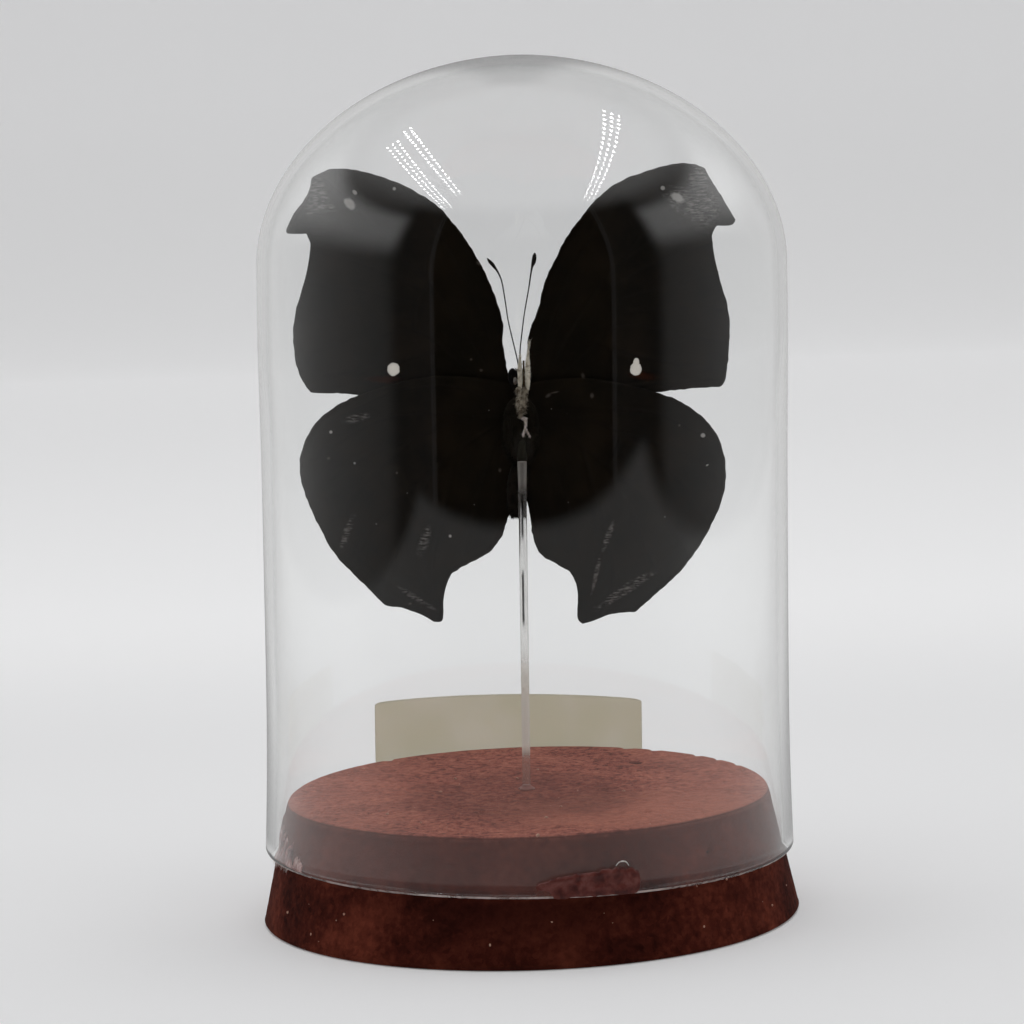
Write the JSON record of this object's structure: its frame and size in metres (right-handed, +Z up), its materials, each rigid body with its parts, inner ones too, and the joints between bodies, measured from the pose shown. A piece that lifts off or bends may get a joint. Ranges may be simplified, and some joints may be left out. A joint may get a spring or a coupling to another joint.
{
  "type": "insect in glass dome",
  "caption": "Dried butterfly, underside to the front, glued to a clear rod under a round-topped glass dome on a tapered cork plug.",
  "frame": {"origin": "centre of the cork plug's flat underside", "axes": "+Z up along the cork's axis, -Y to the front where the butterfly's underside and legs show, +X to the right seen from the front"},
  "size_m": [0.1033, 0.1024, 0.1639],
  "materials": {
    "cork": "reddish-brown stained agglomerated cork, matte",
    "dome_glass": "clear blown glass, polished",
    "rod_glass": "clear solid rod, polished",
    "clear_glue": "dried translucent glue",
    "stained_glue": "dried glue over stained cork, glossy",
    "body_hair": "dark brown hair and scales, matte",
    "pale_scales": "cream hair and scales, matte",
    "antenna": "dark fine-scaled shaft and club",
    "wing_scales": "brown-black wing scales, matte with a faint sheen",
    "label_paper": "aged pale paper, matte"
  },
  "bodies": {
    "root": {"cork_base": "cork", "glass_dome": "dome_glass", "support_rod": "rod_glass", "rod_foot_glue": "clear_glue", "rod_top_glue": "clear_glue", "thorax": "body_hair", "abdomen": "body_hair", "head": "body_hair", "palp_left": "pale_scales", "palp_right": "pale_scales", "antenna_left": "antenna", "antenna_right": "antenna", "foreleg_left": "pale_scales", "foreleg_right": "pale_scales", "midleg_left": "body_hair", "midleg_right": "pale_scales", "forewing_left": "wing_scales", "forewing_right": "wing_scales", "hindwing_left": "wing_scales", "hindwing_right": "wing_scales", "paper_label": "label_paper", "rim_glue_front": "stained_glue", "rim_glue_left": "stained_glue"}
  },
  "joints": []
}
